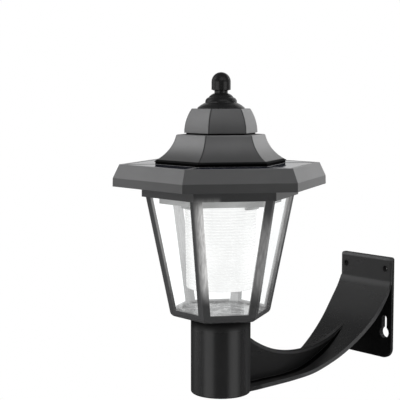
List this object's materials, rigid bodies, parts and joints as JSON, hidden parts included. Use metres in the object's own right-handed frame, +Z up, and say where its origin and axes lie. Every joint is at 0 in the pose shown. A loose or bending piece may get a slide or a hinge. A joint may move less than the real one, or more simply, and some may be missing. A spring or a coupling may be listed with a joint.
{
  "type": "fence lantern",
  "caption": "Hexagonal lantern with a flared roof and clear panes, turning in the tube socket of a curved wall bracket.",
  "frame": {"origin": "centre of the wall plate's back face", "axes": "+Y into the wall, +Z up, X across the plate; the lantern stands towards -Y"},
  "size_m": [0.15, 0.219, 0.223],
  "materials": {
    "black_shell": "satin, finely textured",
    "grey_shell": "satin, finely textured",
    "clear_plastic": "clear",
    "ribbed_plastic": "clear, ribbed",
    "white_plastic": "satin",
    "seal": "matte",
    "solar": "gloss",
    "board": "satin",
    "chip": "satin",
    "parts": "satin",
    "cell": "gloss",
    "contact": "bright",
    "screw": "bright",
    "lead": "satin"
  },
  "bodies": {
    "bracket": {"bracket": "black_shell"},
    "lantern": {"cage": "grey_shell", "spigot": "black_shell", "clear_liner": "clear_plastic"},
    "lid": {"lid_base": "grey_shell", "lid_gasket": "seal", "brim_cover": "grey_shell", "solar_strip_1": "solar", "solar_strip_2": "solar", "solar_strip_3": "solar", "solar_strip_4": "solar", "solar_strip_5": "solar", "solar_strip_6": "solar", "roof_seal": "seal", "roof_skirt": "grey_shell", "roof_dome": "grey_shell", "finial": "black_shell", "reflector": "white_plastic", "diffuser": "ribbed_plastic", "led_board": "board", "led_chips": "chip", "control_board": "board", "board_parts": "parts", "battery_tray": "black_shell", "battery_cell": "cell", "contact_plus": "contact", "contact_minus": "contact", "switch_body": "parts", "solar_leads": "lead", "battery_leads": "lead", "led_leads": "lead", "switch_leads": "lead", "base_screws": "screw", "reflector_screws": "screw", "board_screws": "screw", "skirt_screws": "screw", "dome_screws": "screw", "finial_screw": "screw"},
    "switch": {"switch_slider": "white_plastic"}
  },
  "joints": [
    {"name": "lantern_turn", "type": "hinge", "parent": "bracket", "child": "lantern", "pos_m": [0, -0.154, 0.0107], "axis": [0, 0, 1], "continuous": true},
    {"name": "lid_twist", "type": "hinge", "parent": "lantern", "child": "lid", "pos_m": [0, -0.154, 0.1009], "axis": [0, 0, 1], "range_deg": [0, 8]},
    {"name": "switch_slide", "type": "slide", "parent": "lid", "child": "switch", "axis": [1, 0, 0], "range_m": [0, 0.003]}
  ]
}
